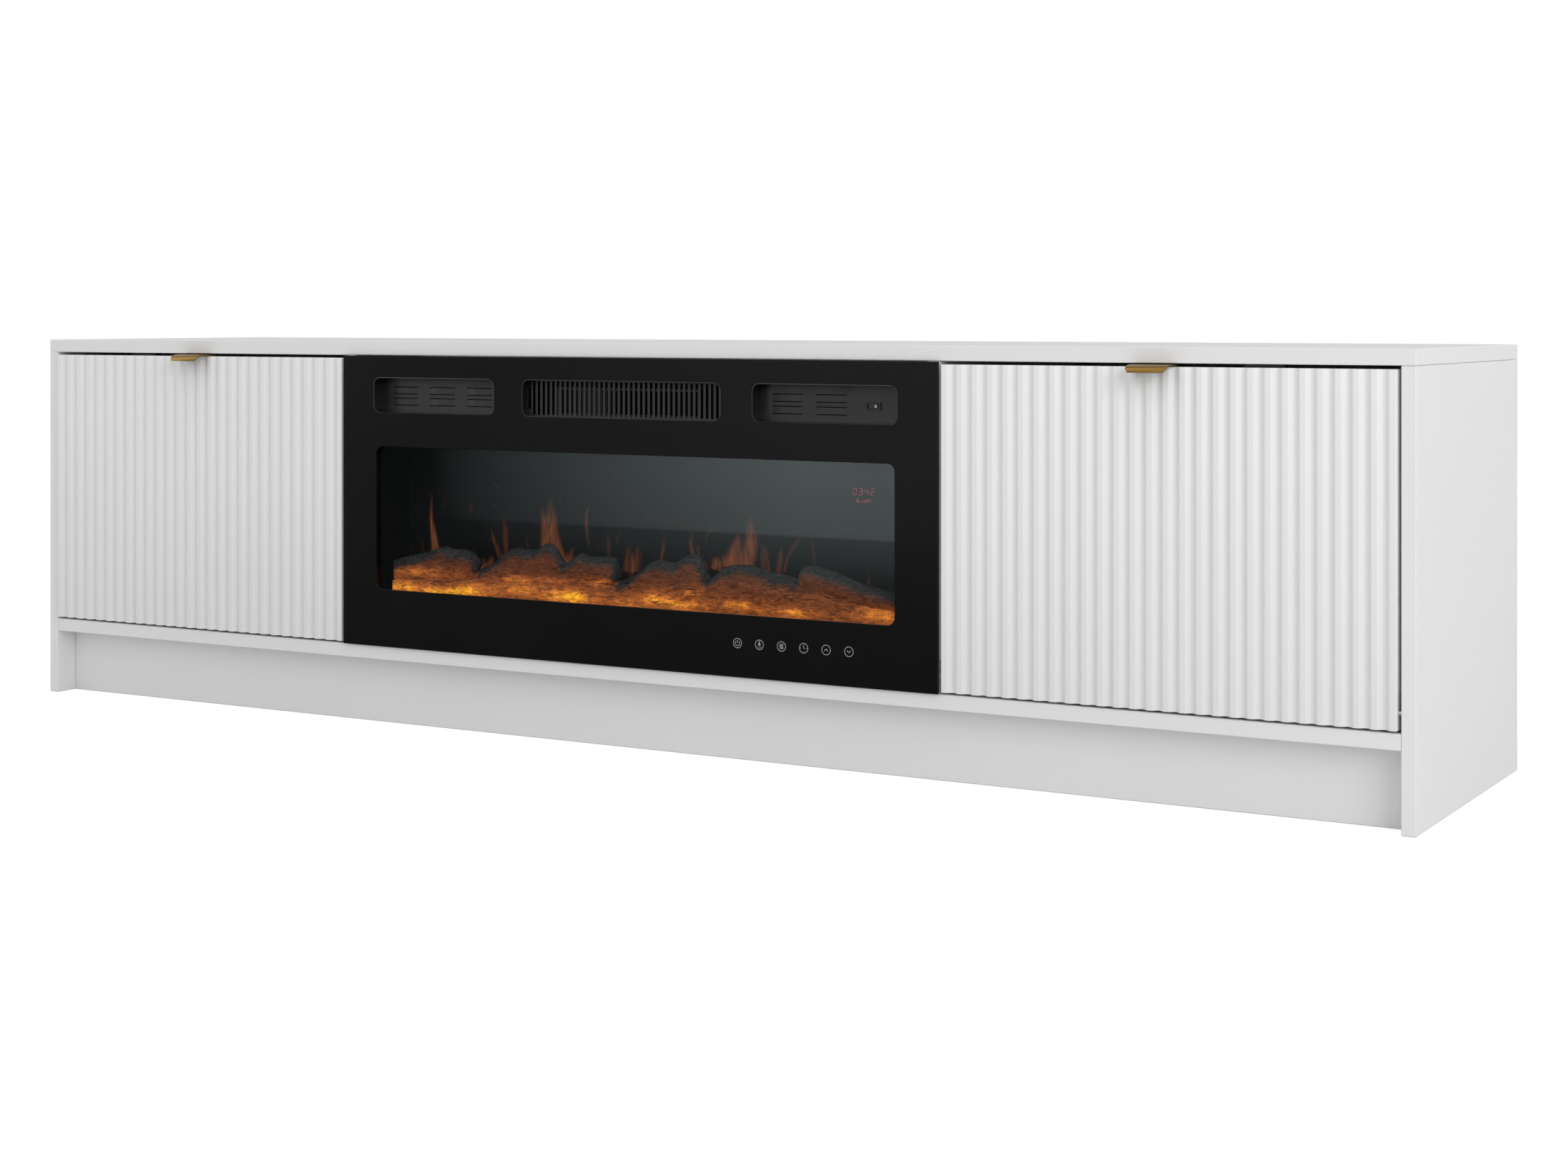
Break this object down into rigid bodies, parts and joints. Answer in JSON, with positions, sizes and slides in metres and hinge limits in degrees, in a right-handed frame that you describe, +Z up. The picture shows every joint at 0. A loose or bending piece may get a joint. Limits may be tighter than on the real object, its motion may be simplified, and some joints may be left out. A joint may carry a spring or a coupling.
{
  "type": "media cabinet with an electric fireplace",
  "caption": "Low white media cabinet with fluted drop-down flaps beside a black glass electric fireplace, with edge pulls and a recessed plinth.",
  "frame": {"origin": "on the floor, under the middle of the whole object's bounding box", "axes": "+X along the length towards the viewer's right, +Y towards the wall, +Z up; the fluted front faces -Y"},
  "size_m": [2, 0.4718, 0.512],
  "materials": {
    "fluted_white": "satin white film over a fluted board",
    "white_board": "matt white melamine faced board",
    "white_hdf": "white lacquered thin hardboard",
    "satin_gold": "brushed satin gold",
    "zinc_steel": "zinc plated",
    "white_plastic": "matt white",
    "black_glass": "glossy black, printed from behind",
    "clear_glass": "clear, glossy",
    "black_steel": "satin black powder coat",
    "black_plastic": "fine texture",
    "smoked_acrylic": "smoked, semi-matt",
    "moulded_resin": "painted bark, charcoal top",
    "circuit_board": "green solder mask",
    "bare_aluminium": "bare fins"
  },
  "bodies": {
    "cabinet": {"top_panel": "white_board", "bottom_panel": "white_board", "left_side_panel": "white_board", "right_side_panel": "white_board", "left_partition": "white_board", "right_partition": "white_board", "front_plinth": "white_board", "rear_plinth": "white_board", "centre_plinth": "white_board", "rear_rail": "white_board", "left_back_panel": "white_hdf", "right_back_panel": "white_hdf", "left_outer_pivot_plate": "zinc_steel", "left_inner_pivot_plate": "zinc_steel", "right_outer_pivot_plate": "zinc_steel", "right_inner_pivot_plate": "zinc_steel", "left_stay_brake": "zinc_steel", "right_stay_brake": "zinc_steel", "left_catch": "white_plastic", "right_catch": "white_plastic", "bezel": "black_glass", "window_pane": "clear_glass", "front_plate": "black_steel", "left_vent_tray": "black_steel", "right_vent_tray": "black_steel", "outlet_grille": "black_steel", "switch_housing": "black_plastic", "casing": "black_steel", "cord_gland": "black_plastic", "firebox_liner": "black_steel", "flame_screen": "smoked_acrylic", "log_set": "moulded_resin", "led_board": "circuit_board", "spindle_bearing": "black_plastic", "spindle_motor": "zinc_steel", "blower_housing": "zinc_steel", "blower_motor": "zinc_steel", "heating_element": "bare_aluminium", "touch_board": "circuit_board", "display_board": "black_plastic"},
    "left_flap": {"left_door": "fluted_white", "left_handle": "satin_gold", "left_outer_pin": "zinc_steel", "left_inner_pin": "zinc_steel", "left_stay_bracket": "zinc_steel", "left_strike": "zinc_steel"},
    "left_arm": {"left_stay_arm": "zinc_steel"},
    "left_link": {"left_stay_link": "zinc_steel"},
    "right_flap": {"right_door": "fluted_white", "right_handle": "satin_gold", "right_outer_pin": "zinc_steel", "right_inner_pin": "zinc_steel", "right_stay_bracket": "zinc_steel", "right_strike": "zinc_steel"},
    "right_arm": {"right_stay_arm": "zinc_steel"},
    "right_link": {"right_stay_link": "zinc_steel"},
    "rocker": {"switch_rocker": "black_plastic"},
    "impeller": {"blower_impeller": "black_steel"},
    "spindle": {"flame_spindle": "zinc_steel"}
  },
  "joints": [
    {"name": "left_flap_hinge", "type": "hinge", "parent": "cabinet", "child": "left_flap", "pos_m": [-0.7143, -0.19915, 0.128], "axis": [1, 0, 0], "range_deg": [0, 90]},
    {"name": "left_arm_hinge", "type": "hinge", "parent": "cabinet", "child": "left_arm", "pos_m": [-0.9729, -0.04915, 0.188], "axis": [1, 0, 0], "range_deg": [0, 90]},
    {"name": "left_link_hinge", "type": "hinge", "parent": "left_flap", "child": "left_link", "pos_m": [-0.9696, -0.17515, 0.288], "axis": [1, 0, 0], "range_deg": [-90, 0]},
    {"name": "right_flap_hinge", "type": "hinge", "parent": "cabinet", "child": "right_flap", "pos_m": [0.7143, -0.19915, 0.128], "axis": [1, 0, 0], "range_deg": [0, 90]},
    {"name": "right_arm_hinge", "type": "hinge", "parent": "cabinet", "child": "right_arm", "pos_m": [0.9729, -0.04915, 0.188], "axis": [1, 0, 0], "range_deg": [0, 90]},
    {"name": "right_link_hinge", "type": "hinge", "parent": "right_flap", "child": "right_link", "pos_m": [0.9696, -0.17515, 0.288], "axis": [1, 0, 0], "range_deg": [-90, 0]},
    {"name": "rocker_hinge", "type": "hinge", "parent": "cabinet", "child": "rocker", "pos_m": [0.3495, -0.18565, 0.4392], "axis": [0, 0, 1], "range_deg": [-16, 0]},
    {"name": "impeller_spin", "type": "hinge", "parent": "cabinet", "child": "impeller", "pos_m": [0, -0.11915, 0.4451], "axis": [1, 0, 0], "continuous": true},
    {"name": "spindle_spin", "type": "hinge", "parent": "cabinet", "child": "spindle", "pos_m": [0, -0.08215, 0.1608], "axis": [1, 0, 0], "continuous": true}
  ],
  "couplings": [
    {"joint": "left_arm_hinge", "follows": "left_flap_hinge", "ratio": 1},
    {"joint": "left_link_hinge", "follows": "left_flap_hinge", "ratio": -1},
    {"joint": "right_arm_hinge", "follows": "right_flap_hinge", "ratio": 1},
    {"joint": "right_link_hinge", "follows": "right_flap_hinge", "ratio": -1}
  ]
}
